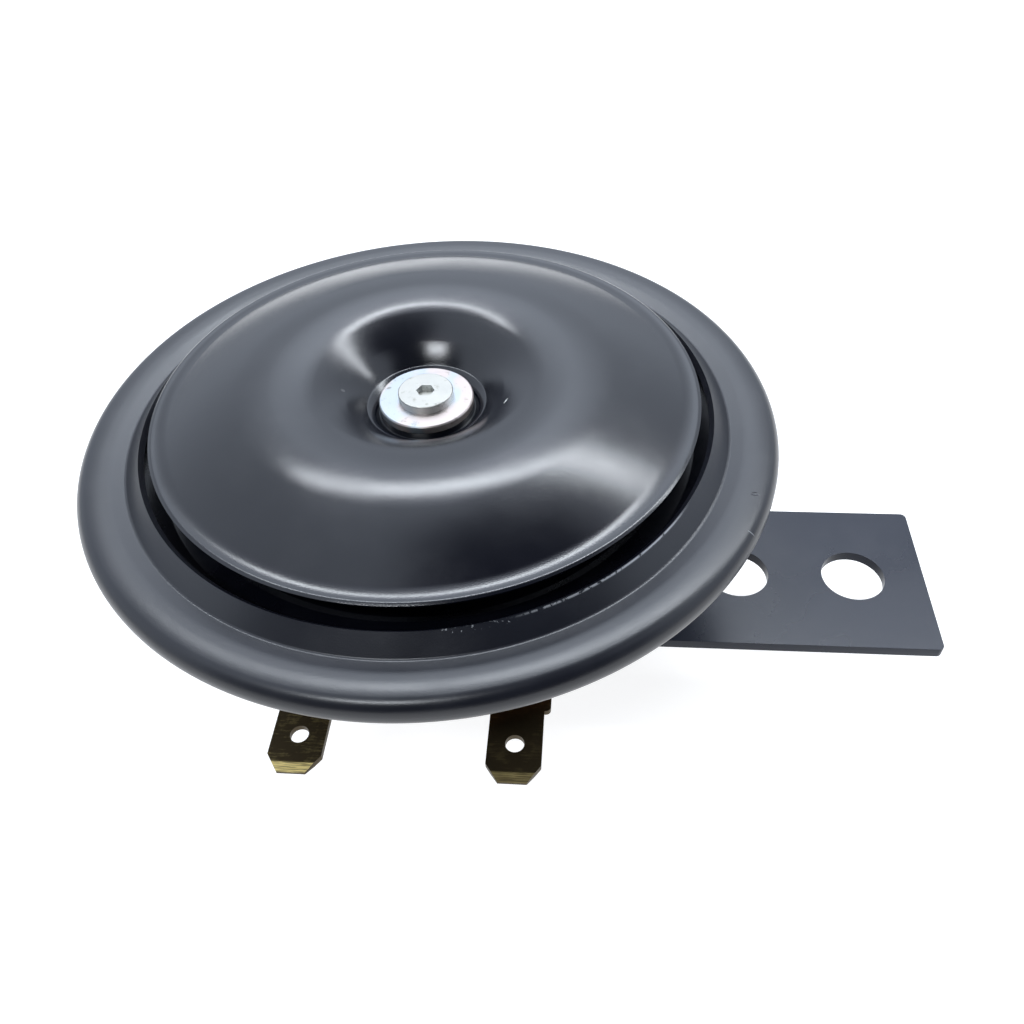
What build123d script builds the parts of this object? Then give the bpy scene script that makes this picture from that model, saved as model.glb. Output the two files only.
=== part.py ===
"""Electric disc horn on a flat strip bracket.

The origin is the centre of the bracket's outer mounting hole, on the strip's underside.
+Z is the way the horn sounds, +X runs along the strip away from the horn, and the
terminal blades point towards -Y. Everything round is turned about the horn's own axis,
which stands parallel to Z behind the holes. All sizes are in millimetres.
"""
import os
from math import atan, atan2, cos, degrees, radians, sin, sqrt, tan

from build123d import *

os.makedirs("parts", exist_ok=True)

# ------------------------------------------------------------------ driving sizes
# Strip bracket
bracket_width = 25.0
bracket_thick = 1.5
mount_hole_dia = 8.7
mount_hole_pitch = 16.2
end_margin = 9.8  # outer hole's centre to the strip's end
hole_to_axis = 58.0  # outer hole's centre to the horn's axis
tail_length = 13.5  # strip behind the horn's axis
strip_corner = 1.5
hole_rollover = 0.3  # rounded entry left by the punch

# Stud and its fasteners (M8)
stud_dia = 8.0
stud_play = 0.4  # how much wider the holes for the stud are
thread_gap = 0.03  # radial, between a thread and its nut
nut_flats = 13.0
nut_height = 6.5
jam_nut_height = 4.0
lock_washer_dia = 14.8
lock_washer_bore = 8.2
lock_washer_thick = 2.0
lock_washer_split = 1.6
lock_washer_skew = 20.0  # degrees, the split's lean
stud_overrun = 2.0  # stud past the nut
stud_chamfer = 0.8

# Housing, a cup with a deeper pot for the coil
housing_sheet = 1.0
housing_bend = 0.8  # inner radius of every bend
pot_radius = 21.0
pot_depth = 6.6
foot_radius = 33.6
shoulder_radius = 36.6
flange_radius = 40.4
housing_depth = 16.2  # back face to the top of the flange

# Clamped rim
gasket_thick = 0.3
diaphragm_thick = 0.4
ring_sheet = 0.8
annulus_fall = 0.33  # the ring's flat falls this far from bead to crease
bead_radius = 41.1  # axis to the centre of the bead's section
crease_radius = 37.4
lip_radius = 35.1
lip_rise = 1.64
crimp_radius = 38.9  # inner edge of the turned-under lip
crease_bend = 0.5
gasket_margin = 0.5  # front gasket's inner edge to the crease

# Diaphragm
diaphragm_bend = 0.4
clamp_radius = 36.4  # inner edge of the clamped flat
band_outer_radius = 33.1
band_inner_radius = 30.9
panel_radius = 29.8
band_depth = 1.2  # band below the clamped flat
panel_drop = 0.5  # panel below the band

# Resonator disc, from its seat outwards: recess, shelf, bowl, lip, crown, skirt and brim.
# Each slope is in degrees, and each bend is the radius of the arc from one slope to the next.
disc_sheet = 0.8
disc_radius = 33.4
disc_edge_round = 0.35
seat_to_rim = 3.5  # seat above the bead's centre
seat_radius = 7.2
recess_slope = 50.0
recess_length = 0.25  # straight part of the recess's wall
recess_foot_bend = 0.2
recess_top_bend = 0.3
shelf_slope = 27.0
shelf_bend = 15.6
bowl_slope = 45.0
bowl_length = 0.75  # straight part of the bowl's wall
lip_bend = 4.5
crown_slope = 10.0
crown_inner_bend = 24.0
crown_outer_bend = 16.2
skirt_top_slope = 15.0
skirt_foot_slope = 23.5
skirt_bend = 55.6
brim_slope = 1.0
brim_bend = 3.0

# Stem, collar, washer and head
stem_dia = 5.0
stem_fit = 0.04  # radial gap round the stem
collar_dia = 10.0
washer_dia = 11.7
washer_thick = 1.0
washer_chamfer = 0.15
head_dia = 6.8
head_height = 1.0
head_round = 0.15
socket_flats = 2.0
socket_depth = 0.8

# Armature and magnet
armature_dia = 24.0
armature_thick = 4.5
boss_dia = 12.0
air_gap = 0.8
core_dia = 16.0
core_height = 10.5
bobbin_height = 9.2
bobbin_dia = 37.6
bobbin_wall = 0.8
core_fit = 0.1
winding_dia = 35.0
wire_dia = 0.6

# Terminals and insulation
blade_width = 6.3
blade_thick = 0.8
blade_reach = 39.2  # axis to the blades' tips
blade_hole_dia = 2.2
blade_hole_inset = 4.75  # tip to the centre of the latch hole
blade_pitch = 25.1
shoulder_width = 7.8
shoulder_inset = 9.2  # tip to the shoulder
tip_cut_x = 1.5
tip_cut_y = 2.1
tip_bevel_length = 1.15
tip_bevel_depth = 0.22
board_thick = 1.6
board_gap = 2.2  # the pot's wall to the board's inner edge
board_margin = 1.0  # the screw's window to the board's outer edge
board_side_margin = 5.05  # a blade's middle to the board's side
board_corner = 1.2
board_window_dia = 5.0  # window round the adjusting screw
shoulder_round = 0.6
root_margin = 3.4  # root's end past the rivet's centre
rivet_dia = 3.0
rivet_head_dia = 5.6
rivet_head_height = 0.8
rivet_line = 24.5  # axis to the line of the terminal rivets
block_dia = 6.8
spigot_dia = 5.0
insulation_gap = 0.05

# Contact set
moving_arm_thick = 0.4
fixed_arm_thick = 1.0
arm_width = 3.6
arm_corner = 0.9
fixed_root_width = 5.0
point_dia = 3.0
point_height = 0.7
point_spacing = 8.95  # left blade's rivet to the contact points
contact_rivet_spacing = 7.55  # right blade's rivet to the fixed arm's rivet
contact_rivet_line = 25.0
moving_block_height = 3.7
tongue_reach = 10.4  # axis to the tongue's end under the armature
screw_dia = 3.5
screw_gap = 0.35  # the screw to the moving arm
screw_slot_width = 0.8
screw_slot_depth = 1.0
screw_recess = 1.1  # screw's slotted end below the housing's back face
bush_dia = 5.4
bush_height = 3.0
tag_thick = 0.5
lug_reach = 5.2  # rivet's centre to the end of the lug that a wire is soldered to
lug_width = 1.8

# ------------------------------------------------------------------ places
axis_x = -hole_to_axis
section = Plane(origin=(axis_x, 0, 0), x_dir=(1, 0, 0), z_dir=(0, -1, 0))
horn_axis = Axis((axis_x, 0, 0), (0, 0, 1))

z_pot = bracket_thick + jam_nut_height
z_back = z_pot + pot_depth
z_floor = z_back + housing_sheet
z_flange = z_back + housing_depth
z_clamp = z_flange + gasket_thick  # underside of the diaphragm's clamped flat
z_diaphragm = z_clamp + diaphragm_thick
z_crease_under = z_diaphragm + gasket_thick
bead_inner = (housing_sheet + 2 * gasket_thick + diaphragm_thick + annulus_fall) / 2
bead_outer = bead_inner + ring_sheet
z_rim = z_flange - housing_sheet + bead_inner
z_crease = z_crease_under + ring_sheet
z_panel = z_diaphragm - band_depth - panel_drop
z_seat = z_rim + seat_to_rim
z_washer = z_seat + washer_thick
z_board = z_back - board_thick
z_blade = z_board - blade_thick
z_core = z_pot + housing_sheet + core_height
z_armature = z_core + air_gap
z_moving_arm = z_floor + moving_block_height
z_fixed_arm = z_moving_arm + moving_arm_thick + 2 * point_height
stem_hole = stem_dia / 2 + stem_fit
stud_hole = (stud_dia + stud_play) / 2
point_offset = point_spacing - blade_pitch / 2
contact_rivet_offset = blade_pitch / 2 - contact_rivet_spacing
screw_line = rivet_line + arm_width / 2 + screw_gap + screw_dia / 2
board_inner_radius = pot_radius + board_gap
board_outer_radius = sqrt(point_offset**2 + screw_line**2) + board_window_dia / 2 + board_margin
board_half_width = blade_pitch / 2 + board_side_margin


def finish(part_builder, name):
    """Label a finished piece and write its STEP file."""
    part_builder.part.label = name
    export_step(part_builder.part, f"parts/{name}.step")


def horn_plane(height):
    """A level plane centred on the horn's axis."""
    return Plane.XY.offset(height).shift_origin((axis_x, 0, height))


def washer_section(outer, inner, low, high):
    """The half section of a plain ring, to be revolved about the horn's axis."""
    with BuildSketch(section) as half_section:
        with Locations(((outer + inner) / 2, (low + high) / 2)):
            Rectangle(outer - inner, high - low)
    return half_section.sketch


def hexagon_nut(low, height):
    """Hexagon nut on the stud, with its corners turned off at both faces."""
    bore = stud_dia / 2 + thread_gap
    corner = nut_flats / 2 / cos(radians(30))
    turned = (corner - nut_flats / 2) * tan(radians(30))
    with BuildPart() as nut:
        with BuildSketch(horn_plane(low)):
            RegularPolygon(radius=nut_flats / 2, side_count=6, major_radius=False)
        extrude(amount=height)
        with BuildSketch(section):
            with BuildLine():
                Polyline(
                    (bore, low),
                    (nut_flats / 2, low),
                    (corner, low + turned),
                    (corner, low + height - turned),
                    (nut_flats / 2, low + height),
                    (bore, low + height),
                    close=True,
                )
            make_face()
        revolve(axis=horn_axis, mode=Mode.INTERSECT)
    return nut


def rivet(x, line, low, high):
    """Rivet through a stack from low to high, with a flat head at each end."""
    with BuildPart() as flat_rivet:
        with BuildSketch(Plane.XY.offset(low)):
            with Locations((axis_x + x, -line)):
                Circle(rivet_dia / 2)
        extrude(amount=high - low)
        with BuildSketch(Plane.XY.offset(low - rivet_head_height), Plane.XY.offset(high)):
            with Locations((axis_x + x, -line)):
                Circle(rivet_head_dia / 2)
        extrude(amount=rivet_head_height)
    return flat_rivet


def insulator(x, line, top):
    """Block on the housing's floor with a spigot down through the wall to the board."""
    with BuildPart() as block:
        with BuildSketch(Plane.XY.offset(z_floor)):
            with Locations((axis_x + x, -line)):
                Circle(block_dia / 2)
        extrude(amount=top - z_floor)
        with BuildSketch(Plane.XY.offset(z_back)):
            with Locations((axis_x + x, -line)):
                Circle(spigot_dia / 2)
        extrude(amount=housing_sheet)
        with BuildSketch(Plane.XY.offset(z_back)):
            with Locations((axis_x + x, -line)):
                Circle(rivet_dia / 2 + insulation_gap)
        extrude(amount=top - z_back, mode=Mode.SUBTRACT)
    return block


rivet_places = [
    (-blade_pitch / 2, rivet_line),
    (blade_pitch / 2, rivet_line),
    (contact_rivet_offset, contact_rivet_line),
]

# ------------------------------------------------------------------ bracket
with BuildPart() as bracket:
    strip_length = end_margin + hole_to_axis + tail_length
    with BuildSketch() as strip_outline:
        with Locations((end_margin - strip_length / 2, 0)):
            Rectangle(strip_length, bracket_width)
        fillet(strip_outline.vertices(), strip_corner)
    extrude(amount=bracket_thick)
    with Locations((0, 0, bracket_thick), (-mount_hole_pitch, 0, bracket_thick)):
        Hole(mount_hole_dia / 2)
    hole_rims = bracket.edges().filter_by(lambda edge: edge.is_closed)
    fillet(hole_rims.group_by(Axis.Z)[-1], hole_rollover)
    with Locations((axis_x, 0, bracket_thick)):
        Hole(stud_hole)
finish(bracket, "bracket")

# ------------------------------------------------------------------ fasteners on the stud
jam_nut = hexagon_nut(bracket_thick, jam_nut_height)
finish(jam_nut, "jam_nut")

with BuildPart() as spring_washer:
    washer_ring = washer_section(lock_washer_dia / 2, lock_washer_bore / 2, -lock_washer_thick, 0)
    revolve(washer_ring, axis=horn_axis)
    with BuildSketch(Plane.YZ.offset(axis_x)):
        with Locations((0, -lock_washer_thick / 2)):
            split_height = 2 * lock_washer_thick / cos(radians(lock_washer_skew))
            Rectangle(lock_washer_split, split_height, rotation=lock_washer_skew)
    extrude(amount=lock_washer_dia, mode=Mode.SUBTRACT)
finish(spring_washer, "spring_washer")

hex_nut = hexagon_nut(-lock_washer_thick - nut_height, nut_height)
finish(hex_nut, "hex_nut")

# ------------------------------------------------------------------ housing
with BuildPart() as housing_shell:
    with BuildSketch(section):
        with BuildLine():
            FilletPolyline(
                (stud_hole, z_pot),
                (pot_radius, z_pot),
                (pot_radius, z_back),
                (foot_radius, z_back),
                (shoulder_radius, z_flange - housing_sheet),
                (flange_radius, z_flange - housing_sheet),
                radius=housing_sheet + housing_bend,
            )
            offset(amount=housing_sheet, side=Side.LEFT)
        make_face()
    revolve(axis=horn_axis)
    with BuildSketch(Plane.XY.offset(z_back)):
        for x, line in rivet_places:
            with Locations((axis_x + x, -line)):
                Circle(spigot_dia / 2 + insulation_gap)
        with Locations((axis_x + point_offset, -screw_line)):
            Circle(bush_dia / 2 + thread_gap)
    extrude(amount=housing_sheet, mode=Mode.SUBTRACT)
finish(housing_shell, "housing_shell")

# ------------------------------------------------------------------ clamped rim
# The ring's flat falls from the bead to the crease along a line tangent to the bead.
fall_angle = 2 * atan(annulus_fall / (bead_radius - crease_radius) / 2)

with BuildPart() as cover_ring:
    with BuildSketch(section):
        with BuildLine() as ring_path:
            bead_start = (
                bead_radius - bead_outer * sin(fall_angle),
                z_rim + bead_outer * cos(fall_angle),
            )
            flat_and_lip = FilletPolyline(
                (lip_radius, z_crease + lip_rise),
                (crease_radius, z_crease),
                bead_start,
                radius=crease_bend,
            )
            bead = ThreePointArc(
                bead_start,
                (bead_radius + bead_outer, z_rim),
                (bead_radius, z_rim - bead_outer),
            )
            Line(bead @ 1, (crimp_radius, z_rim - bead_outer))
            offset(amount=ring_sheet, side=Side.RIGHT)
        make_face()
    revolve(axis=horn_axis)
finish(cover_ring, "cover_ring")

with BuildPart() as rear_gasket:
    rear_section = washer_section(flange_radius, shoulder_radius + bead_inner, z_flange, z_clamp)
    revolve(rear_section, axis=horn_axis)
finish(rear_gasket, "rear_gasket")

# The front gasket fills the wedge under the ring's falling flat.
with BuildPart() as front_gasket:
    with BuildSketch(section):
        with BuildLine():
            gasket_inner = crease_radius + gasket_margin
            wedge = (flange_radius - gasket_inner) * tan(fall_angle)
            Polyline(
                (gasket_inner, z_diaphragm),
                (flange_radius, z_diaphragm),
                (flange_radius, z_crease_under + wedge),
                (gasket_inner, z_crease_under),
                close=True,
            )
        make_face()
    revolve(axis=horn_axis)
finish(front_gasket, "front_gasket")

with BuildPart() as diaphragm:
    with BuildSketch(section):
        with BuildLine():
            FilletPolyline(
                (flange_radius, z_diaphragm),
                (clamp_radius, z_diaphragm),
                (band_outer_radius, z_diaphragm - band_depth),
                (band_inner_radius, z_diaphragm - band_depth),
                (panel_radius, z_panel),
                (stem_hole, z_panel),
                radius=diaphragm_bend,
            )
            offset(amount=diaphragm_thick, side=Side.LEFT)
        make_face()
    revolve(axis=horn_axis)
finish(diaphragm, "diaphragm")

# ------------------------------------------------------------------ resonator


def incline(angle):
    """Unit direction that climbs at the given angle, falling when it is negative."""
    return (cos(radians(angle)), sin(radians(angle)))


def bend(start, slope_in, slope_out, radius):
    """Arc that leaves start at one slope and ends at the other."""
    return JernArc(start, incline(slope_in), radius, slope_out - slope_in)


with BuildPart() as resonator_disc:
    with BuildSketch(section) as disc_section:
        with BuildLine():
            seat = Line((stem_hole, z_seat), (seat_radius, z_seat))
            recess_foot = bend(seat @ 1, 0, recess_slope, recess_foot_bend)
            recess = PolarLine(recess_foot @ 1, recess_length, recess_slope)
            recess_top = bend(recess @ 1, recess_slope, shelf_slope, recess_top_bend)
            shelf = bend(recess_top @ 1, shelf_slope, bowl_slope, shelf_bend)
            bowl = PolarLine(shelf @ 1, bowl_length, bowl_slope)
            lip = bend(bowl @ 1, bowl_slope, crown_slope, lip_bend)
            crown_inner = bend(lip @ 1, crown_slope, 0, crown_inner_bend)
            crown_outer = bend(crown_inner @ 1, 0, -skirt_top_slope, crown_outer_bend)
            skirt = bend(crown_outer @ 1, -skirt_top_slope, -skirt_foot_slope, skirt_bend)
            brim_turn = bend(skirt @ 1, -skirt_foot_slope, -brim_slope, brim_bend)
            brim_fall = (disc_radius - (brim_turn @ 1).X) * tan(radians(brim_slope))
            Line(brim_turn @ 1, (disc_radius, (brim_turn @ 1).Y - brim_fall))
            offset(amount=disc_sheet, side=Side.RIGHT)
        make_face()
        fillet(disc_section.vertices().sort_by(Axis.X)[-2:], disc_edge_round)
    revolve(axis=horn_axis)
finish(resonator_disc, "resonator_disc")

with BuildPart() as rivet_washer:
    revolve(washer_section(washer_dia / 2, stem_hole, z_seat, z_washer), axis=horn_axis)
    chamfer(rivet_washer.edges().group_by(Axis.Z)[-1].sort_by(SortBy.LENGTH)[-1], washer_chamfer)
finish(rivet_washer, "rivet_washer")

with BuildPart() as stem_collar:
    collar_section = washer_section(collar_dia / 2, stem_hole, z_panel, z_seat - disc_sheet)
    revolve(collar_section, axis=horn_axis)
finish(stem_collar, "stem_collar")

# ------------------------------------------------------------------ armature and magnet
with BuildPart() as armature:
    with BuildSketch(section) as armature_section:
        with BuildLine():
            Polyline(
                (0, z_armature),
                (armature_dia / 2, z_armature),
                (armature_dia / 2, z_armature + armature_thick),
                (boss_dia / 2, z_armature + armature_thick),
                (boss_dia / 2, z_panel - diaphragm_thick),
                (stem_dia / 2, z_panel - diaphragm_thick),
                (stem_dia / 2, z_washer),
                (head_dia / 2, z_washer),
                (head_dia / 2, z_washer + head_height),
                (0, z_washer + head_height),
                close=True,
            )
        make_face()
        head_corner = armature_section.vertices().group_by(Axis.Y)[-1].sort_by(Axis.X)[-1]
        fillet(head_corner, head_round)
    revolve(axis=horn_axis)
    with BuildSketch(horn_plane(z_washer + head_height)):
        RegularPolygon(radius=socket_flats / 2, side_count=6, major_radius=False)
    extrude(amount=-socket_depth, mode=Mode.SUBTRACT)
finish(armature, "armature")

with BuildPart() as pole_core:
    stud_end = -lock_washer_thick - nut_height - stud_overrun
    with BuildSketch(section):
        with BuildLine():
            Polyline(
                (0, stud_end),
                (stud_dia / 2 - stud_chamfer, stud_end),
                (stud_dia / 2, stud_end + stud_chamfer),
                (stud_dia / 2, z_pot + housing_sheet),
                (core_dia / 2, z_pot + housing_sheet),
                (core_dia / 2, z_core),
                (0, z_core),
                close=True,
            )
        make_face()
    revolve(axis=horn_axis)
finish(pole_core, "pole_core")

bobbin_low = z_pot + housing_sheet
bobbin_high = bobbin_low + bobbin_height
bobbin_bore = core_dia / 2 + core_fit
winding_bore = bobbin_bore + bobbin_wall + insulation_gap

with BuildPart() as coil_bobbin:
    revolve(washer_section(bobbin_dia / 2, bobbin_bore, bobbin_low, bobbin_high), axis=horn_axis)
    window = washer_section(
        bobbin_dia / 2,
        bobbin_bore + bobbin_wall,
        bobbin_low + bobbin_wall,
        bobbin_high - bobbin_wall,
    )
    revolve(window, axis=horn_axis, mode=Mode.SUBTRACT)
finish(coil_bobbin, "coil_bobbin")

# Each end of the winding leaves the coil, climbs past the bobbin and lies on its contact.
tail_radius = (bobbin_dia / 2 + pot_radius - housing_sheet) / 2
z_tag = z_moving_arm
tails = [
    (blade_pitch / 2, rivet_line, z_tag + tag_thick),
    (contact_rivet_offset, contact_rivet_line, z_fixed_arm + fixed_arm_thick),
]

with BuildPart() as coil_winding:
    copper = washer_section(
        winding_dia / 2,
        winding_bore,
        bobbin_low + bobbin_wall + insulation_gap,
        bobbin_high - bobbin_wall - insulation_gap,
    )
    revolve(copper, axis=horn_axis)
    for x, line, landing in tails:
        reach = sqrt(x**2 + line**2)
        along = (x / reach, -line / reach, 0)
        tail_plane = Plane(origin=(axis_x, 0, 0), x_dir=along, z_dir=(along[1], -along[0], 0))
        with BuildLine(tail_plane) as tail_path:
            FilletPolyline(
                (winding_dia / 2 - wire_dia, (bobbin_low + bobbin_high) / 2),
                (tail_radius, (bobbin_low + bobbin_high) / 2),
                (tail_radius, landing + wire_dia / 2),
                (reach - rivet_head_dia / 2 - wire_dia, landing + wire_dia / 2),
                radius=wire_dia,
            )
        with BuildSketch(Plane(origin=tail_path.line @ 0, z_dir=along)) as tail_section:
            Circle(wire_dia / 2)
        sweep(tail_section.sketch, path=tail_path.line)
finish(coil_winding, "coil_winding")

# ------------------------------------------------------------------ terminals
with BuildPart() as terminal_board:
    with BuildSketch(horn_plane(z_board)) as board_outline:
        Circle(board_outer_radius)
        Circle(board_inner_radius, mode=Mode.SUBTRACT)
        with Locations((0, -board_outer_radius / 2)):
            Rectangle(2 * board_half_width, board_outer_radius, mode=Mode.INTERSECT)
        fillet(board_outline.vertices(), board_corner)
        for x, line in rivet_places:
            with Locations((x, -line)):
                Circle(rivet_dia / 2 + insulation_gap, mode=Mode.SUBTRACT)
        with Locations((point_offset, -screw_line)):
            Circle(board_window_dia / 2, mode=Mode.SUBTRACT)
    extrude(amount=board_thick)
finish(terminal_board, "terminal_board")


def terminal(side):
    """Push-on blade with a wider root that is riveted under the board."""
    middle = axis_x + side * blade_pitch / 2
    tip = -blade_reach
    neck = tip + shoulder_inset
    root = root_margin - rivet_line
    with BuildPart() as blade:
        with BuildSketch(Plane.XY.offset(z_blade)) as outline:
            with BuildLine():
                Polyline(
                    (middle, root),
                    (middle + shoulder_width / 2, root),
                    (middle + shoulder_width / 2, neck),
                    (middle + blade_width / 2, neck),
                    (middle + blade_width / 2, tip + tip_cut_y),
                    (middle + blade_width / 2 - tip_cut_x, tip),
                    (middle, tip),
                )
                mirror(about=Plane.YZ.offset(middle))
            make_face()
            root_corners = outline.vertices().group_by(Axis.X)
            fillet(root_corners[0] + root_corners[-1], shoulder_round)
            with Locations((middle, blade_hole_inset - blade_reach)):
                Circle(blade_hole_dia / 2, mode=Mode.SUBTRACT)
            with Locations((middle, -rivet_line)):
                Circle(rivet_dia / 2 + thread_gap, mode=Mode.SUBTRACT)
        extrude(amount=blade_thick)
        # Both faces fall away towards the tip, so a connector finds its way on.
        with BuildSketch(Plane.YZ.offset(middle)):
            for face, fall in ((z_board, -tip_bevel_depth), (z_blade, tip_bevel_depth)):
                with BuildLine():
                    Polyline(
                        (tip, face),
                        (tip + tip_bevel_length, face),
                        (tip, face + fall),
                        close=True,
                    )
                make_face()
        extrude(amount=blade_width, both=True, mode=Mode.SUBTRACT)
    return blade


terminal_left = terminal(-1)
finish(terminal_left, "terminal_left")
terminal_right = terminal(1)
finish(terminal_right, "terminal_right")

terminal_rivet_left = rivet(-blade_pitch / 2, rivet_line, z_blade, z_moving_arm + moving_arm_thick)
finish(terminal_rivet_left, "terminal_rivet_left")
terminal_rivet_right = rivet(blade_pitch / 2, rivet_line, z_blade, z_tag + tag_thick)
finish(terminal_rivet_right, "terminal_rivet_right")
contact_rivet = rivet(
    contact_rivet_offset,
    contact_rivet_line,
    z_board,
    z_fixed_arm + fixed_arm_thick,
)
finish(contact_rivet, "contact_rivet")

moving_block = insulator(-blade_pitch / 2, rivet_line, z_moving_arm)
finish(moving_block, "moving_block")
tag_block = insulator(blade_pitch / 2, rivet_line, z_tag)
finish(tag_block, "tag_block")
fixed_block = insulator(contact_rivet_offset, contact_rivet_line, z_fixed_arm)
finish(fixed_block, "fixed_block")

# ------------------------------------------------------------------ contact set
point_x = axis_x + point_offset
rivet_hole = rivet_dia / 2 + thread_gap


def lug_place(x, line):
    """A rivet's place, turned so that its lug points at the horn's axis."""
    return Location((axis_x + x, -line, 0), (0, 0, degrees(atan2(-line, x))))


with BuildPart() as moving_arm:
    with BuildSketch(Plane.XY.offset(z_moving_arm)):
        with BuildLine():
            arm_end = point_x + arm_width / 2
            arm_side = rivet_line - arm_width / 2
            FilletPolyline(
                (axis_x - blade_pitch / 2, -rivet_line - arm_width / 2),
                (arm_end, -rivet_line - arm_width / 2),
                (arm_end, -tongue_reach),
                (arm_end - arm_width, -tongue_reach),
                (arm_end - arm_width, -arm_side),
                (axis_x - blade_pitch / 2, -arm_side),
                radius=arm_corner,
                close=True,
            )
        make_face()
        with Locations((axis_x - blade_pitch / 2, -rivet_line)):
            Circle(block_dia / 2)
            Circle(rivet_hole, mode=Mode.SUBTRACT)
    extrude(amount=moving_arm_thick)
finish(moving_arm, "moving_arm")

with BuildPart() as fixed_arm:
    with BuildSketch(Plane.XY.offset(z_fixed_arm)):
        rivet_x = axis_x + contact_rivet_offset
        with Locations((rivet_x, -contact_rivet_line)):
            Circle(block_dia / 2)
        with BuildLine():
            Polyline(
                (rivet_x, -contact_rivet_line + fixed_root_width / 2),
                (point_x - arm_width / 2, -rivet_line + arm_width / 2),
                (point_x - arm_width / 2, -screw_line - screw_dia / 2),
                (point_x + arm_width / 2, -screw_line - screw_dia / 2),
                (rivet_x, -contact_rivet_line - fixed_root_width / 2),
                close=True,
            )
        make_face()
        with Locations(lug_place(contact_rivet_offset, contact_rivet_line)):
            Rectangle(lug_reach, lug_width, align=(Align.MAX, Align.CENTER))
            Circle(rivet_hole, mode=Mode.SUBTRACT)
    extrude(amount=fixed_arm_thick)
finish(fixed_arm, "fixed_arm")


def contact_point(low):
    """Small round silver point between the two arms."""
    with BuildPart() as point:
        with BuildSketch(Plane.XY.offset(low)):
            with Locations((point_x, -rivet_line)):
                Circle(point_dia / 2)
        extrude(amount=point_height)
    return point


moving_point = contact_point(z_moving_arm + moving_arm_thick)
finish(moving_point, "moving_point")
fixed_point = contact_point(z_fixed_arm - point_height)
finish(fixed_point, "fixed_point")

with BuildPart() as solder_tag:
    with BuildSketch(Plane.XY.offset(z_tag)):
        with Locations(lug_place(blade_pitch / 2, rivet_line)):
            Circle(block_dia / 2)
            Rectangle(lug_reach, lug_width, align=(Align.MAX, Align.CENTER))
            Circle(rivet_hole, mode=Mode.SUBTRACT)
    extrude(amount=tag_thick)
finish(solder_tag, "solder_tag")

# ------------------------------------------------------------------ adjuster
with BuildPart() as adjuster_bush:
    with BuildSketch(Plane.XY.offset(z_back)):
        with Locations((point_x, -screw_line)):
            Circle(bush_dia / 2)
            Circle(screw_dia / 2 + thread_gap, mode=Mode.SUBTRACT)
    extrude(amount=bush_height)
finish(adjuster_bush, "adjuster_bush")

with BuildPart() as adjusting_screw:
    screw_low = z_back - screw_recess
    with BuildSketch(Plane.XY.offset(screw_low)):
        with Locations((point_x, -screw_line)):
            Circle(screw_dia / 2)
    extrude(amount=z_fixed_arm - screw_low)
    with BuildSketch(Plane.XY.offset(screw_low)):
        with Locations((point_x, -screw_line)):
            Rectangle(screw_dia, screw_slot_width)
    extrude(amount=screw_slot_depth, mode=Mode.SUBTRACT)
finish(adjusting_screw, "adjusting_screw")
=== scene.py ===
# %% [markdown]
# # A disc horn, dressed
#
# The horn arrives as a set of solids that are already in place, so nothing is fitted here. Each
# solid is one piece of the real horn: pressed steel parts in black enamel, zinc plated fasteners,
# brass blades on a laminate board, and the coil and contacts inside. This lesson gives them their
# finishes, makes the disc, the ring and the bracket again in a finer form, and sets the horn under
# studio light.

# %% Load the frame
import math

import bmesh
import bpy
from mathutils import Matrix, Vector


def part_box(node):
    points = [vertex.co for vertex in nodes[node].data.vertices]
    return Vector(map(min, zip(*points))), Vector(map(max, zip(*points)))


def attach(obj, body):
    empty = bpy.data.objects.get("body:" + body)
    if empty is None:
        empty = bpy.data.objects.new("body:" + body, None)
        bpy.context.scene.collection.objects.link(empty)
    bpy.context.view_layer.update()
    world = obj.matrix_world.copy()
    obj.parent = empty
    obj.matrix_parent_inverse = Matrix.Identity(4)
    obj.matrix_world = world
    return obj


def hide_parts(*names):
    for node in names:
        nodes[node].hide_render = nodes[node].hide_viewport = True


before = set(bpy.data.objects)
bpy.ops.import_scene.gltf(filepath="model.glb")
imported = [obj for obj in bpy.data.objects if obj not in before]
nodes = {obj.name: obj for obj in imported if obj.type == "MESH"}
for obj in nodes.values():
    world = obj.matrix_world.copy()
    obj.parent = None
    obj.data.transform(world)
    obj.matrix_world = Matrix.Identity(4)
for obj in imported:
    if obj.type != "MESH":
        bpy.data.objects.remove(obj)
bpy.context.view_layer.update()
MM = 0.001
print("pieces in the frame:", len(nodes))

# %% [markdown]
# ## The horn's own axis
#
# Everything round on the horn turns about one line, which stands upright through the middle of
# the washer. Many patterns below follow it: the turned lines on the washer, the chips along the
# ring's lip and the thread on the stud. It could be typed in as a number, but reading it from the
# washer's box keeps it right if the horn is ever resized.

# %% Measure the axis and the main heights
washer_low, washer_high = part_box("rivet_washer")
axis = Vector(((washer_low.x + washer_high.x) / 2, (washer_low.y + washer_high.y) / 2, 0))
ring_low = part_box("cover_ring")[0]
stud_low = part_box("pole_core")[0]
print("axis at", [round(v / MM, 3) for v in axis], "ring from", round(ring_low.z / MM, 2))

# %% [markdown]
# ## Writing shader maths as plain sums
#
# A finish is a small network of nodes. It could be wired by hand in the editor, but a network
# made in a script is easier to read when its maths looks like maths. This class holds one output
# of a node. Adding or multiplying two of them adds a Math node and gives back its output.


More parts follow.
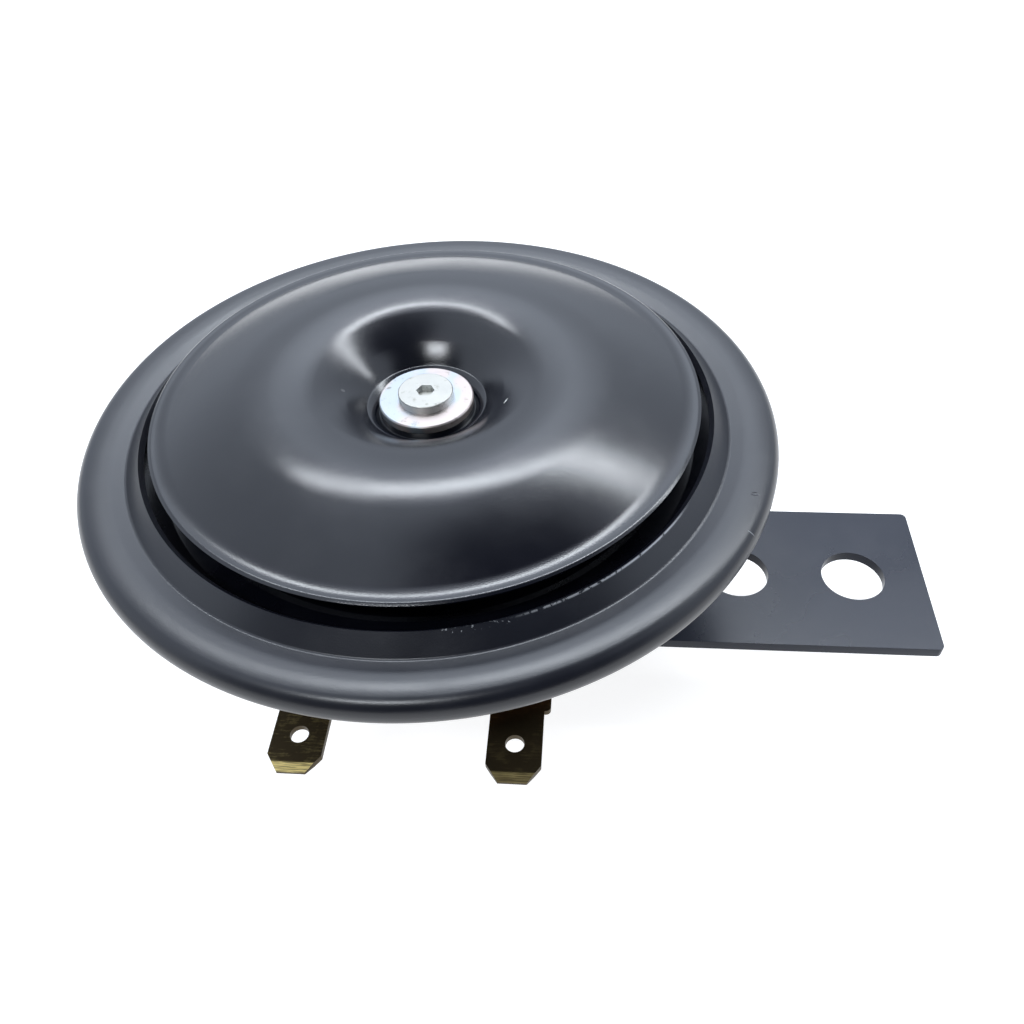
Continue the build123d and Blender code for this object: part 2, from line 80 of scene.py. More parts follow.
# %% A value in a network of nodes
class Value:
    """One output of a node. Sums and products of values add Math nodes."""

    def __init__(self, network, socket):
        self.network = network
        self.socket = socket

    def maths(self, operation, first, second):
        return self.network.node("ShaderNodeMath", {"operation": operation}, {0: first, 1: second})

    def __add__(self, other):
        return self.maths("ADD", self, other)

    def __radd__(self, other):
        return self.maths("ADD", other, self)

    def __sub__(self, other):
        return self.maths("SUBTRACT", self, other)

    def __rsub__(self, other):
        return self.maths("SUBTRACT", other, self)

    def __mul__(self, other):
        return self.maths("MULTIPLY", self, other)

    def __rmul__(self, other):
        return self.maths("MULTIPLY", other, self)

    def __pow__(self, other):
        return self.maths("POWER", self, other)


# %% The network and its two helpers
class Network:
    """A tree of nodes, for a finish or for the room's light."""

    def __init__(self, tree):
        self.tree = tree

    def node(self, kind, settings, sockets, output=0):
        """Add a node: its settings first, then the values or links of its sockets."""
        made = self.tree.nodes.new(kind)
        for setting, choice in settings.items():
            setattr(made, setting, choice)
        for socket, value in sockets.items():
            self.plug(made.inputs[socket], value)
        return Value(self, made.outputs[output])

    def plug(self, socket, value):
        """Link a value to a socket, or set a plain number or colour on it."""
        if isinstance(value, Value):
            self.tree.links.new(value.socket, socket)
        elif socket.type == "RGBA":
            socket.default_value = (*value, 1)
        else:
            socket.default_value = value

    def parts(self, vector):
        """The three numbers of a vector."""
        return [self.node("ShaderNodeSeparateXYZ", {}, {0: vector}, part) for part in range(3)]

    def ramp(self, value, low, high, to_low=0.0, to_high=1.0):
        """Turn values from low to high into a smooth step."""
        sockets = {"Value": value, 1: low, 2: high, 3: to_low, 4: to_high}
        return self.node("ShaderNodeMapRange", {"interpolation_type": "SMOOTHSTEP"}, sockets)


# %% [markdown]
# ## A finish
#
# One material for one surface of the horn. What is the same all over is set once on the shader
# itself. What changes over the surface comes from patterns that are fixed to the piece in metres,
# so a scratch stays where it is from every side.


# %% The finish and its patterns
class Finish(Network):
    """A material, with a few patterns made from the one method for nodes."""

    def __init__(self, name):
        self.material = bpy.data.materials.new(name)
        self.material.use_nodes = True
        super().__init__(self.material.node_tree)
        self.shader = self.tree.nodes["Principled BSDF"]
        self.place = self.node("ShaderNodeTexCoord", {}, {}, "Object")

    def set(self, socket, value):
        self.plug(self.shader.inputs[socket], value)

    def noise(self, grain, detail=2.0, roughness=0.5, place=None):
        """Soft noise whose lumps are about as wide as grain, in metres."""
        sockets = {"Vector": place or self.place, "Scale": 1 / grain}
        return self.node("ShaderNodeTexNoise", {}, {**sockets, "Detail": detail, "Roughness": roughness})

    def blend(self, share, under, over):
        """Mix two colours."""
        sockets = {0: share, 6: under, 7: over}
        return self.node("ShaderNodeMix", {"data_type": "RGBA"}, sockets, 2)

    def from_axis(self):
        """Distance from the horn's axis."""
        flat = self.node("ShaderNodeVectorMath", {"operation": "MULTIPLY"}, {0: self.place, 1: (1, 1, 0)})
        return self.from_point(axis, flat)

    def from_point(self, point, place=None):
        """Distance from a point."""
        sockets = {0: place or self.place, 1: point}
        return self.node("ShaderNodeVectorMath", {"operation": "DISTANCE"}, sockets, "Value")

    def stretched(self, stretch):
        """The place with each direction stretched, for grain that runs one way."""
        return self.node("ShaderNodeVectorMath", {"operation": "MULTIPLY"}, {0: self.place, 1: stretch})

    def mark(self, point, length, width, turn=0.0):
        """1 on a short stroke centred on a point, turned in degrees about upright."""
        settings = {"vector_type": "TEXTURE"}
        sockets = {
            "Vector": self.place,
            "Location": point,
            "Rotation": (0, 0, math.radians(turn)),
            "Scale": (length / 2, width / 2, 2 * MM),
        }
        local = self.node("ShaderNodeMapping", settings, sockets)
        reach = self.node("ShaderNodeVectorMath", {"operation": "LENGTH"}, {0: local}, "Value")
        return self.ramp(reach, 1.0, 0.6)

    def relief(self, height, depth, strength=1.0, below=None):
        """Raise or press the surface by height times depth, in metres."""
        sockets = {"Height": height, "Distance": depth, "Strength": strength}
        if below:
            sockets["Normal"] = below
        return self.node("ShaderNodeBump", {}, sockets)


# %% [markdown]
# ## Black enamel
#
# The pressed parts are dipped or sprayed in black enamel and baked. Real enamel isn't even: it
# lies in a faint orange peel, carries a fine grain that shows only inside the highlights, and has
# a few dust nibs under the film. The peel and the grain are relief a few microns high, so bump
# gives them; the nibs are faint paler specks in the colour, and the base stays a very dark blue
# grey that lets the reflections do the work.


# %% Mix the enamel
def enamel(name, gloss=0.15, grain=0.5, deep=(0.0012, 0.0014, 0.0032), pale=(0.0026, 0.0031, 0.0064)):
    """Baked black enamel. grain is how strong its fine texture is, deep and pale its two shades."""
    paint = Finish(name)
    mottle = paint.noise(14 * MM, 3)
    dust = paint.noise(0.4 * MM, 2) * paint.ramp(paint.noise(6 * MM, 2), 0.45, 0.7)
    paint.film = paint.blend(dust * 0.03, paint.blend(mottle, deep, pale), (0.11, 0.11, 0.115))
    peel = paint.relief(paint.noise(2.2 * MM, 1), 0.02 * MM, 0.2)
    paint.set("Roughness", gloss + 0.05 * paint.ramp(mottle, 0.35, 0.65) + 0.05 * dust)
    paint.set("Normal", paint.relief(paint.noise(0.15 * MM, 1), 0.01 * MM, grain, peel))
    paint.set("Base Color", paint.film)
    return paint


disc_enamel = enamel("disc_enamel", 0.15, 0.8)
ring_enamel = enamel("ring_enamel", 0.29, 0.7, pale=(0.0026, 0.0034, 0.0085))
bracket_enamel = enamel("bracket_enamel", 0.26, 0.7, (0.0022, 0.0046, 0.0130), (0.0034, 0.0066, 0.0180))
bracket_enamel.set("Specular IOR Level", 0.29)
housing_enamel = enamel("housing_enamel", 0.22, 0.6)
diaphragm_enamel = enamel("diaphragm_enamel", 0.26, 0.8)
diaphragm_enamel.set("Specular IOR Level", 0.2)
print("enamels mixed:", sum(m.name.endswith("_enamel") for m in bpy.data.materials))

# %% [markdown]
# ## Knocks and scratches
#
# A horn that has been handled shows it. Enamel is thinnest on the sheared lip of the ring, and
# specks of bare steel show there. A short pale scratch and a nib lie in the disc's bowl, and the
# ring has a scrape and a small dent on its right. They are no deeper than a hair, so masks in the
# finish are enough: a band at the lip's radius broken up by noise, and a stroke for each mark.


# %% Mark the enamel
chip_radius = 35.2
lip_height = 31.74


def around(turn, radius, height):
    """A point turn degrees round from +X, with its radius and height in mm."""
    a = math.radians(turn)
    return axis + Vector((radius * math.cos(a), radius * math.sin(a), height)) * MM


def chipped(paint, turn, spread, width, rarity):
    """Specks on the lip within spread of one place: bare steel, or packed close, a painted highlight line. A
    higher rarity leaves fewer.
    """
    away = paint.from_axis()
    inner = paint.ramp(away, (chip_radius - width) * MM, chip_radius * MM)
    outer = paint.ramp(away, (chip_radius + 2 * width) * MM, chip_radius * MM)
    band = inner * outer
    middle = around(turn, chip_radius, lip_height)
    near = paint.ramp(paint.from_point(middle), spread * MM, 0.6 * spread * MM)
    specks = paint.ramp(paint.noise(0.5 * MM, 3, 0.6), rarity, rarity + 0.03)
    return band * specks * near


scrape = ring_enamel.mark(around(-26.4, 42.4, 30.3), 1.0 * MM, 0.1 * MM, -15)
# The first band and the scrape are bare steel; the second, thin and nearly unbroken band at the right front
# is a painted highlight along the lip's edge.
chips_and_lip_highlight = chipped(ring_enamel, -74, 4.2, 0.25, 0.61) + 0.6 * chipped(ring_enamel, -48, 13, 0.08, 0.42)
chips_and_lip_highlight = ring_enamel.node("ShaderNodeMath", {"operation": "MAXIMUM"}, {0: chips_and_lip_highlight, 1: 0.5 * scrape})
dent = ring_enamel.mark(around(-18.8, 41.06, 30.4), 0.9 * MM, 0.6 * MM)
ring_enamel.set("Base Color", ring_enamel.blend(chips_and_lip_highlight, ring_enamel.film, (0.55, 0.56, 0.58)))
ring_enamel.set("Metallic", chips_and_lip_highlight)
undented = 1 - dent
fine_grain = ring_enamel.relief(ring_enamel.noise(0.15 * MM, 1), 0.01 * MM, 0.7)
ring_enamel.set("Normal", ring_enamel.relief(undented, 0.05 * MM, 1.0, fine_grain))

scratch = disc_enamel.mark(around(-17.4, 10.7, 35.0), 1.1 * MM, 0.16 * MM, 65)
nib = disc_enamel.mark(around(-173.5, 10.0, 34.7), 0.6 * MM, 0.6 * MM)
disc_enamel.set("Base Color", disc_enamel.blend(scratch + 0.05 * nib, disc_enamel.film, (0.75, 0.75, 0.72)))

# %% [markdown]
# ## Zinc plate
#
# The washer, the riveted head, the nuts and the stud are bright zinc. Plating keeps whatever the
# tool left on the steel under it, so the turned faces show faint rings about the axis, and the
# film itself is cloudy, a little yellow in places and blue in others.


# %% Plate with zinc
turned_line = 0.22 * MM


def zinc(name, gloss=0.28, rings=0.5, hues=0.0, painted_side_sheen=0.0):
    """Bright zinc over turned steel, with rings about the axis.

    hues is how strongly it is tinged. The last argument paints the upright faces brighter, a painted sheen.
    """
    plate = Finish(name)
    cloud = plate.noise(2.4 * MM, 3, 0.6)
    stain = plate.ramp(plate.noise(1.1 * MM, 4, 0.65), 0.56, 0.70)
    tint = plate.blend(cloud, (0.25, 0.25, 0.235), (0.34, 0.335, 0.31))
    warm = plate.ramp(plate.noise(3.2 * MM, 1, 0.5, plate.stretched((1, 0.6, 1))), 0.42, 0.58)
    tinge = plate.blend(warm, (0.27, 0.31, 0.36), (0.38, 0.31, 0.30))
    tint = plate.blend(hues, tint, tinge)
    facing = plate.node("ShaderNodeTexCoord", {}, {}, "Normal")
    # Upright faces, such as the head's sides and socket walls, are painted paler here: a painted sheen.
    upright = plate.ramp(plate.parts(facing)[2], 0.6, 0.3) * painted_side_sheen
    tint = plate.blend(upright, tint, (0.82, 0.84, 0.83))
    away = plate.from_axis()
    line = plate.node("ShaderNodeMath", {"operation": "SINE"}, {0: away * (2 * math.pi / turned_line)})
    turned = plate.relief(line, 0.002 * MM, rings)
    nick = plate.mark(around(162.3, 5.16, 32.97), 0.8 * MM, 0.5 * MM, 30)
    plate.set("Base Color", plate.blend(stain * 0.4 + nick * 0.7, tint, (0.13, 0.12, 0.10)))
    plate.set("Metallic", 1.0)
    plate.set("Roughness", gloss + 0.14 * cloud + 0.12 * stain)
    plate.set("Normal", plate.relief(plate.noise(0.5 * MM, 3), 0.012 * MM, 0.5, turned))
    return plate


washer_zinc = zinc("washer_zinc", 0.33, 0.6, 0.6)
# The riveted head gets a strong painted sheen on its upright faces.
head_zinc = zinc("head_zinc", 0.36, 0.1, 0.0, 0.9)
fastener_zinc = zinc("fastener_zinc", 0.32, 0.1)

# %% [markdown]
# ## A thread on the stud
#
# The solid stud is plain, because a thread adds nothing to how the pieces fit. Its ridges are put
# back as relief. A right-hand thread climbs one pitch for each turn about the axis, so the height
# of the relief is a wave of the height on the stud less the angle round it.

# %% Raise the thread
thread_pitch = 1.25 * MM
thread_depth = 0.6 * MM
stud_zinc = zinc("stud_zinc", 0.32, 0.0)
x, y, z = stud_zinc.parts(stud_zinc.place)
angle = stud_zinc.node("ShaderNodeMath", {"operation": "ARCTAN2"}, {0: y - axis.y, 1: x - axis.x})
climb = z * (2 * math.pi / thread_pitch) - angle
ridge = stud_zinc.node("ShaderNodeMath", {"operation": "SINE"}, {0: climb})
stud_zinc.set("Normal", stud_zinc.relief(0.5 * ridge + 0.5, thread_depth, 1.0))
print("thread pitch", round(thread_pitch / MM, 2), "mm")

# %% [markdown]
# ## Tarnished brass
#
# The blades are punched from rolled brass strip. Their faces have gone a dark bronze brown, and
# the cut edges are darker still. Only the ground tips show yellow metal, the left blade's most of
# all. A mask from the direction that each face looks finds the edges, and one from the place finds
# the tips.


# %% Tarnish the brass
def brass(name, skin, metal, gloss=0.36, tips=0.0):
    """Brass with a dark skin, darker on cut edges. tips is how far the ground tips are bared."""
    strip = Finish(name)
    facing = strip.node("ShaderNodeTexCoord", {}, {}, "Normal")
    flatness = strip.node("ShaderNodeMath", {"operation": "ABSOLUTE"}, {0: strip.parts(facing)[2]})
    blotch = strip.noise(2.0 * MM, 4, 0.6)
    rolled = strip.noise(0.3 * MM, 3, 0.6, strip.stretched((0.12, 1, 1)))
    x, y = strip.parts(strip.place)[:2]
    blade_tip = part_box("terminal_left")[0].y
    ground = strip.ramp(y, blade_tip + 1.35 * MM, blade_tip + 1.10 * MM) * tips
    left = strip.ramp(x, axis.x + 1 * MM, axis.x - 1 * MM, 0.35, 1.0)
    cut = strip.ramp(flatness, 0.8, 0.6)
    rubbed = strip.ramp(blotch * 0.6 + rolled * 0.4, 0.50, 0.64) * 0.25
    steps = strip.noise(0.14 * MM, 2, 0.6, strip.stretched((0.05, 1, 1)))
    bright = strip.ramp(steps, 0.42, 0.58, 0.3, 1.0) * ground * left
    share = strip.node("ShaderNodeMath", {"operation": "MAXIMUM"}, {0: rubbed * left, 1: bright})
    dark = strip.blend(blotch, skin, tuple(0.5 * part for part in skin))
    face = strip.blend(share, dark, metal)
    strip.set("Base Color", strip.blend(cut, face, tuple(0.4 * part for part in skin)))
    strip.set("Metallic", 1.0)
    strip.set("Roughness", gloss + 0.16 * blotch)
    strip.set("Normal", strip.relief(rolled, 0.012 * MM, 0.8))
    return strip


blade_brass = brass("blade_brass", (0.16, 0.12, 0.065), (0.92, 0.74, 0.30), 0.36, 1.0)
small_brass = brass("small_brass", (0.42, 0.30, 0.13), (0.60, 0.44, 0.20), 0.3)
spring_bronze = brass("spring_bronze", (0.45, 0.27, 0.15), (0.58, 0.38, 0.22), 0.3)

# %% [markdown]
# ## Insulators, windings and contacts
#
# Behind the ring and through the back of the housing, the small electrical parts show: a board of
# brown paper laminate, pale nylon blocks and bobbin, enamelled copper wire, silver points and a
# steel adjusting screw. Each has its own texture, such as the laminate's fibres and the wires'
# ridges, and each is quickly made from the same few helpers.


# %% Finish the laminate and the mouldings
def moulding(name, light, dark, gloss, grain, depth, stretch=(1, 1, 1)):
    """A matt insulator with grain that may run one way."""
    stuff = Finish(name)
    fibre = stuff.noise(grain, 3, 0.6, stuff.stretched(stretch))
    stuff.set("Base Color", stuff.blend(fibre, dark, light))
    stuff.set("Roughness", gloss + 0.12 * fibre)
    stuff.set("Normal", stuff.relief(fibre, depth, 0.7))
    return stuff


along_fibres = (0.15, 1, 1)
board_laminate = moulding(
    "board_laminate", (0.23, 0.10, 0.035), (0.12, 0.05, 0.018), 0.45, 0.8 * MM, 0.02 * MM, along_fibres
)
moulded_nylon = moulding(
    "moulded_nylon", (0.72, 0.70, 0.62), (0.60, 0.58, 0.50), 0.38, 3 * MM, 0.01 * MM
)
gasket_paper = moulding(
    "gasket_paper", (0.20, 0.17, 0.13), (0.11, 0.095, 0.075), 0.75, 0.4 * MM, 0.03 * MM
)


# %% Finish the wire, the points and the screw
def bright_metal(name, light, dark, gloss, grain):
    """Plain bare metal with a faint texture."""
    metal = Finish(name)
    cloud = metal.noise(grain, 3, 0.6)
    metal.set("Base Color", metal.blend(cloud, dark, light))
    metal.set("Metallic", 1.0)
    metal.set("Roughness", gloss + 0.15 * cloud)
    metal.set("Normal", metal.relief(metal.noise(grain / 4, 2), 0.01 * MM, 0.4))
    return metal


contact_silver = bright_metal("contact_silver", (0.78, 0.77, 0.74), (0.58, 0.57, 0.54), 0.25, 0.7 * MM)
screw_steel = bright_metal("screw_steel", (0.50, 0.50, 0.50), (0.32, 0.32, 0.32), 0.30, 0.8 * MM)
winding_copper = bright_metal("winding_copper", (0.62, 0.26, 0.12), (0.42, 0.15, 0.07), 0.26, 1.2 * MM)
wire_pitch = 0.6 * MM
height = winding_copper.parts(winding_copper.place)[2]
wave = height * (2 * math.pi / wire_pitch)
wires = winding_copper.node("ShaderNodeMath", {"operation": "SINE"}, {0: wave})
winding_copper.set("Normal", winding_copper.relief(wires, 0.1 * MM, 0.8))

# %% [markdown]
# ## Turned and pressed shapes
#
# The disc and the ring are pressed from sheet, and every cut through them at the axis looks the
# same. That calls for a spin: draw the section once, round its corners and turn it about the
# axis. The section is a handful of corner points, each with the radius of its bend. A vertex
# bevel rounds each corner, so the bends stay true arcs and the highlights run smoothly.


# %% Spin a section about the axis
def section_of(corners, degrees_apart=3):
    """A wire along the corners, (radius, height, bend) in mm, with each corner rounded."""
    wire = bmesh.new()
    dots = [
        wire.verts.new((axis.x + radius * MM, axis.y, height * MM)) for radius, height, bend in corners
    ]
    for first, second in zip(dots, dots[1:]):
        wire.edges.new((first, second))
    turns = [
        (dot.co - before.co).angle(after.co - dot.co) for before, dot, after in zip(dots, dots[1:], dots[2:])
    ]
    for dot, turn, corner in zip(dots[1:], turns, corners[1:]):
        reach = corner[2] * MM * math.tan(turn / 2)
        if not reach:
            continue
        bmesh.ops.bevel(
            wire,
            geom=[dot],
            offset=reach,
            offset_type="OFFSET",
            segments=max(4, round(math.degrees(turn) / degrees_apart)),
            profile=0.5,
            affect="VERTICES",
            material=-1,
        )
    return wire


def spun(name, wire, sheet, steps=288):
    """Turn a wire about the axis in steps and give it the thickness of its sheet, inwards."""
    bmesh.ops.spin(
        wire,
        geom=wire.verts[:] + wire.edges[:],
        cent=axis,
        axis=(0, 0, 1),
        angle=2 * math.pi,
        steps=steps,
        use_merge=True,
    )
    bmesh.ops.remove_doubles(wire, verts=wire.verts, dist=0.002 * MM)
    bmesh.ops.recalc_face_normals(wire, faces=wire.faces)
    if sum(face.normal.z * face.calc_area() for face in wire.faces) < 0:
        bmesh.ops.reverse_faces(wire, faces=wire.faces)
    bmesh.ops.solidify(wire, geom=wire.faces[:], thickness=sheet * MM)
    for face in wire.faces:
        face.smooth = True
    piece = bpy.data.objects.new(name, bpy.data.meshes.new(name))
    wire.to_mesh(piece.data)
    wire.free()
    bpy.context.scene.collection.objects.link(piece)
    piece.data.set_sharp_from_angle(angle=math.radians(35))
    return piece


# %% [markdown]
# ## The resonator disc
#
# One round pressing: a flat seat for the washer, a groove and a thin ledge round it, the bowl, a
# soft lip, the crown and the long skirt down to a narrow brim. The shape could come from sculpting,
# but each stretch of a pressing is a straight wall or an arc left by the die, so a section with
# true bends is both simpler and closer.

# %% Press the disc
pressed_sheet = 0.8
rim = 28.465  # height of the middle of the ring's bead
disc_section = [
    (2.54, rim + 3.5, 0),
    (5.6, rim + 3.5, 0.05),
    (5.95, rim + 2.6, 0.1),
    (7.27, rim + 3.72, 0),
    (7.39, rim + 3.738, 0.05),
    (8.55, rim + 5.036, 16.0),
    (10.0, rim + 6.189, 17.6),
    (12.0, rim + 7.439, 18.2),
    (13.9, rim + 8.265, 7.1),
    (15.6, rim + 8.626, 16.3),
    (17.6, rim + 8.851, 12.5),
    (20.53, rim + 8.851, 17.5),
    (27.08, rim + 7.23, 50),
    (31.85, rim + 5.16, 3.2),
    (33.08, rim + 5.30, 0.45),
    (33.4, rim + 5.12, 0),
]
disc = spun("pressed_disc", section_of(disc_section, 2.3), pressed_sheet)
disc.data.materials.append(disc_enamel.material)
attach(disc, "root")
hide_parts("resonator_disc")
print("disc faces", len(disc.data.polygons))

# %% [markdown]
# ## The clamping ring
#
# A ring of sheet steel holds the diaphragm to the housing. Its inner lip stands up, its flat
# arches gently over the gaskets, and its outer edge is rolled right round the housing's flange.

# %% Roll the ring
ring_section = [
    (35.1, lip_height, 0),
    (37.15, 29.78, 0.4),
    (38.9, 30.25, 5.0),
    (40.6, 30.46, 6.0),
    (43.065, 30.10, 1.75),
    (43.065, 26.5, 1.965),
    (38.9, 26.5, 0),
]
ring = spun("rolled_ring", section_of(ring_section, 2.5), pressed_sheet, 320)
ring.data.materials.append(ring_enamel.material)
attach(ring, "root")
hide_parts("cover_ring")
print("ring faces", len(ring.data.polygons))

# %% [markdown]
# ## The bracket
#
# The strip is punched from sheet steel, and a punch pulls the edge down as it goes in. So every
# upper edge, outside and round the holes, is softly rolled over, and the enamel follows it. The
# outline and the holes are drawn as loops, filled, pulled up to the sheet's thickness, and their
# upper edges are bevelled, which is quicker than rounding a finished solid.

# %% Punch the strip
strip_low, strip_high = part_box("bracket")
corner_radius = 0.8 * MM
rolled_edge = 0.28 * MM
holes = ((0, 8.7), (-16.2, 8.7), (axis.x / MM, 8.4))  # each hole's middle along X and its width
strip = bmesh.new()
corners = [
    strip.verts.new((x, y, strip_low.z))
    for x, y in (
        (strip_low.x, strip_low.y),
        (strip_high.x, strip_low.y),
        (strip_high.x, strip_high.y),
        (strip_low.x, strip_high.y),
    )
]
for first, second in zip(corners, corners[1:] + corners[:1]):
    strip.edges.new((first, second))
bmesh.ops.bevel(
    strip,
    geom=corners,
    offset=corner_radius,
    offset_type="OFFSET",
    segments=6,
    profile=0.5,
    affect="VERTICES",
    material=-1,
)
for middle, width in holes:
    spot = Matrix.Translation((middle * MM, 0, strip_low.z))
    bmesh.ops.create_circle(strip, segments=72, radius=width / 2 * MM, matrix=spot)
bmesh.ops.triangle_fill(strip, use_beauty=True, edges=strip.edges[:], normal=(0, 0, 1))
bmesh.ops.recalc_face_normals(strip, faces=strip.faces)
raised = bmesh.ops.extrude_face_region(strip, geom=strip.faces[:])["geom"]
top = [item for item in raised if isinstance(item, bmesh.types.BMVert)]
bmesh.ops.translate(strip, verts=top, vec=(0, 0, strip_high.z - strip_low.z))
bmesh.ops.recalc_face_normals(strip, faces=strip.faces)
upper_edges = [
    edge
    for edge in strip.edges
    if all(vert.co.z > strip_high.z - 0.1 * MM for vert in edge.verts)
    and len(edge.link_faces) == 2
    and edge.calc_face_angle() > 1
]
bmesh.ops.bevel(
    strip,
    geom=upper_edges,
    offset=rolled_edge,
    offset_type="OFFSET",
    segments=4,
    profile=0.5,
    affect="EDGES",
    material=-1,
    clamp_overlap=True,
)

# A narrow loop inside the bevel keeps the smooth shading off the flat top.
flat_top = [face for face in strip.faces if face.calc_center_median().z > strip_high.z - 1e-7]
bmesh.ops.inset_region(strip, faces=flat_top, thickness=0.05 * MM)
for face in strip.faces:
    face.smooth = True
bracket = bpy.data.objects.new("punched_strip", bpy.data.meshes.new("punched_strip"))
strip.to_mesh(bracket.data)
strip.free()
bpy.context.scene.collection.objects.link(bracket)
bracket.data.set_sharp_from_angle(angle=math.radians(50))
bracket.data.materials.append(bracket_enamel.material)
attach(bracket, "root")
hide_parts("bracket")
print("strip faces", len(bracket.data.polygons))

# %% [markdown]
# ## Giving each piece its finish
#
# Pieces that are made of the same stuff share a finish. The list goes from finish to pieces, and
# a last check makes sure that no piece was left out.

# %% Dress the pieces
dressing = {
    disc_enamel: ["resonator_disc"],
    ring_enamel: ["cover_ring"],
    bracket_enamel: ["bracket"],
    housing_enamel: ["housing_shell"],
    diaphragm_enamel: ["diaphragm"],
    washer_zinc: ["rivet_washer"],
    head_zinc: ["armature"],
    stud_zinc: ["pole_core"],
    fastener_zinc: ["jam_nut", "spring_washer", "hex_nut", "stem_collar"],
    blade_brass: ["terminal_left", "terminal_right"],
    small_brass: [
        "terminal_rivet_left",
        "terminal_rivet_right",
        "contact_rivet",
        "solder_tag",
        "adjuster_bush",
    ],
    spring_bronze: ["moving_arm", "fixed_arm"],
    contact_silver: ["moving_point", "fixed_point"],
    screw_steel: ["adjusting_screw"],
    board_laminate: ["terminal_board"],
    moulded_nylon: ["coil_bobbin", "moving_block", "fixed_block", "tag_block"],
    gasket_paper: ["front_gasket", "rear_gasket"],
    winding_copper: ["coil_winding"],
}
dressed = set()
for finish, names in dressing.items():
    for name in names:
        for place in nodes[name].material_slots:
            place.material = finish.material
        dressed.add(name)
print("not dressed:", sorted(set(nodes) - dressed))

# %% [markdown]
# ## The floor
#
# A plain pale sheet under the horn. It lies a hair below the stud's end, the lowest point.

# %% Lay the floor
floor_mesh = bmesh.new()
bmesh.ops.create_grid(floor_mesh, x_segments=1, y_segments=1, size=3)
bmesh.ops.translate(floor_mesh, verts=floor_mesh.verts, vec=(0, 0, stud_low.z - 0.1 * MM))
floor = bpy.data.objects.new("floor", bpy.data.meshes.new("floor"))
floor_mesh.to_mesh(floor.data)
floor_mesh.free()
bpy.context.scene.collection.objects.link(floor)
pale = moulding("pale_floor", (0.42, 0.42, 0.42), (0.38, 0.38, 0.38), 0.7, 30 * MM, 0.001 * MM)
pale.set("Emission Color", (1, 1, 1))
pale.set("Emission Strength", 0.85)
floor.data.materials.append(pale.material)

# %% [markdown]
# ## Studio light
#
# Black gloss shows its surroundings more than its own colour, so the light is most of the look.
# The room is a bright tent whose back wall glows where the long soft box lights it. The side that
# the camera looks from is dim, and a dark flag hangs overhead at the right, so that the disc's
# near slope stays deep black. A smaller dark patch in front darkens the ring's inner lip. It could
# be built from walls and cloth, but a world shader that depends on direction alone gives the same
# reflections without noise. The camera itself sees a plain pale backdrop in place of the tent.


# %% Light the tent
def toward(turn, lean):
    """The direction turn degrees round from +X and lean degrees down from straight up."""
    a, b = math.radians(turn), math.radians(lean)
    return Vector((math.sin(b) * math.cos(a), math.sin(b) * math.sin(a), math.cos(b)))


world = bpy.data.worlds.new("tent")
world.use_nodes = True
bpy.context.scene.world = world
tent = Network(world.node_tree)
look = tent.node("ShaderNodeTexCoord", {}, {}, "Generated")


def closeness(turn, lean):
    """1 straight towards a direction, 0 square to it."""
    return tent.node(
        "ShaderNodeVectorMath", {"operation": "DOT_PRODUCT"}, {0: look, 1: toward(turn, lean)}, "Value"
    )


def patch(turn, lean, inner, outer):
    """1 within inner degrees of a direction, fading to 0 at outer degrees."""
    edges = math.cos(math.radians(outer)), math.cos(math.radians(inner))
    return tent.ramp(closeness(turn, lean), *edges)


dim_right = patch(300, 60, 26, 44)
dim_left = patch(245, 60, 25, 38)
flag = patch(345, 14, 13, 28)
dim_front = patch(262, 34, 12, 22)
horizon = tent.ramp(tent.parts(look)[2], 0.0, 0.3, 0.55, 1.0)
glow = tent.node("ShaderNodeMath", {"operation": "MAXIMUM"}, {0: closeness(95, 38), 1: 0.0}) ** 20
shade = (1 - 0.9 * dim_right) * (1 - 0.8 * dim_left) * (1 - 0.85 * dim_front) * (1 - 0.92 * flag)
tent_strength = 1.5
glow_strength = 3.4
backdrop_strength = 0.9
brightness = tent_strength * horizon * shade + glow_strength * glow
seen = tent.node("ShaderNodeLightPath", {}, {}, "Is Camera Ray")
strength = brightness * (1 - seen) + backdrop_strength * seen
tint = tent.node("ShaderNodeMix", {"data_type": "RGBA"}, {0: seen, 6: (0.78, 0.865, 1.0), 7: (1, 1, 1)}, 2)
tent.plug(world.node_tree.nodes["Background"].inputs["Color"], tint)
tent.plug(world.node_tree.nodes["Background"].inputs["Strength"], strength)


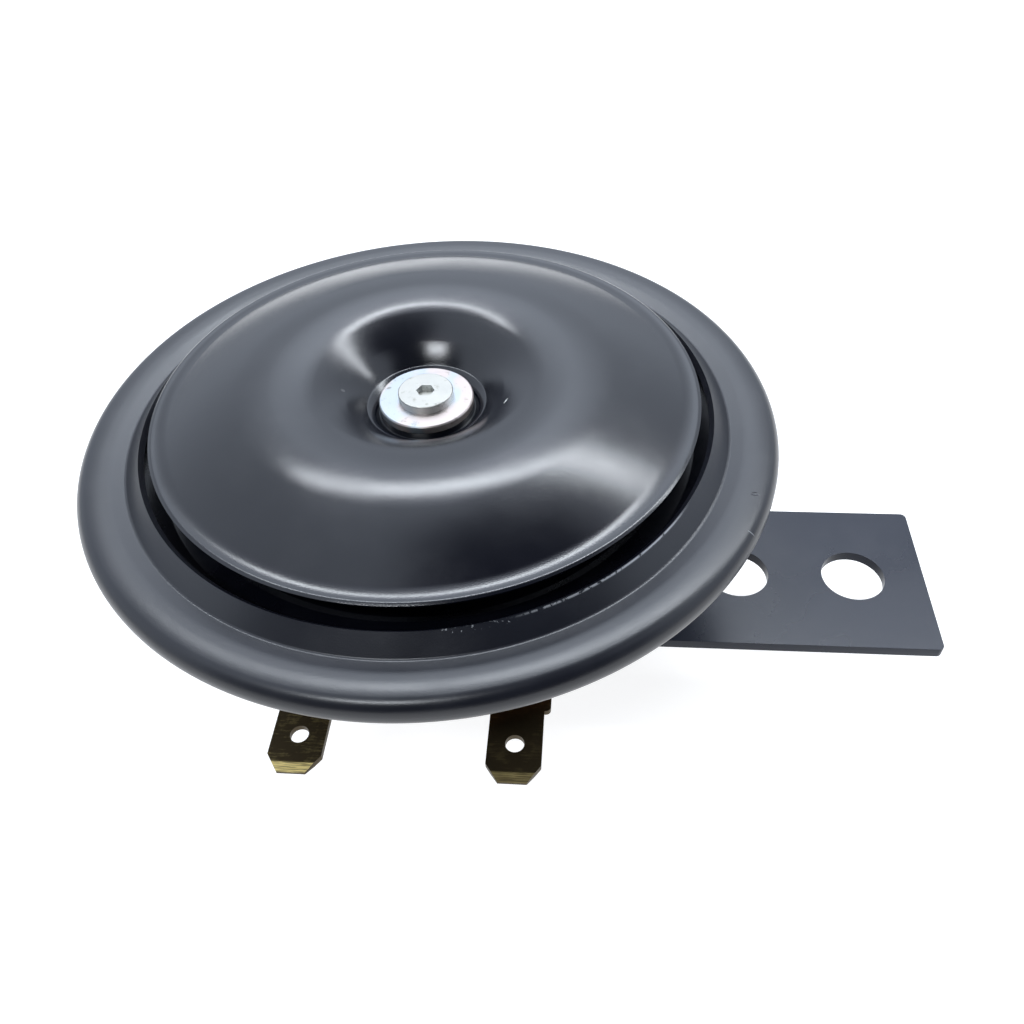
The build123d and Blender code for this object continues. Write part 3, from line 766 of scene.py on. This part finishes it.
# %% [markdown]
# ## Soft boxes
#
# One long strip lamp runs from left to right, high behind the horn. It draws the bright lines
# over the disc's lip, its crown and the ring. A small lamp nearer the camera only shows as the
# bright patch in the bowl, because nothing else on the disc leans far enough to mirror it.


# %% Hang the soft boxes
def soft_box(name, middle, width, depth, brightness):
    """A level rectangular lamp that shines down, its middle given from the ring's back face."""
    lamp = bpy.data.lights.new(name, "AREA")
    lamp.shape = "RECTANGLE"
    lamp.size = width
    lamp.size_y = depth
    lamp.energy = brightness * math.pi * width * depth
    lamp.color = (0.90, 0.95, 1.0)
    box = bpy.data.objects.new(name, lamp)
    bpy.context.scene.collection.objects.link(box)
    box.location = axis + Vector((0, 0, ring_low.z)) + Vector(middle)
    return box


soft_box("long_strip", (0.35, 0.45, 0.80), 1.6, 0.14, 17)
soft_box("bowl_lamp", (-0.19, -0.46, 0.80), 0.32, 0.13, 30)

# %% [markdown]
# ## The camera
#
# It looks down on the horn from the front at about 46 degrees, a hand's width away, which is why
# the near side of the ring looks larger than the far side.

# %% Set the camera
yaw, pitch, roll = (math.radians(turn) for turn in (-6.68, 45.76, 3.42))
ahead = Vector((math.sin(yaw) * math.cos(pitch), math.cos(yaw) * math.cos(pitch), -math.sin(pitch)))
level = Vector((math.cos(yaw), -math.sin(yaw), 0))
down = ahead.cross(level)
across = math.cos(roll) * level + math.sin(roll) * down
downward = -math.sin(roll) * level + math.cos(roll) * down
stand = Matrix((across, -downward, -ahead)).transposed().to_4x4()
stand.translation = Vector((-0.0377, -0.0898, 0.10569))
camera = bpy.data.objects.new("camera", bpy.data.cameras.new("camera"))
bpy.context.scene.collection.objects.link(camera)
camera.matrix_world = stand
sensor_width = 36
frame_width = 1024  # in pixels
focal_length = 940.06  # in the same pixels
camera.data.sensor_width = sensor_width
camera.data.lens = sensor_width * focal_length / frame_width
camera.data.clip_start = 0.001
bpy.context.scene.camera = camera
bpy.context.scene.view_settings.view_transform = "Standard"
print("camera at", [round(v, 4) for v in camera.location], "lens", round(camera.data.lens, 2))

# %% [markdown]
# ## The end
#

# %% Finish
print("done")
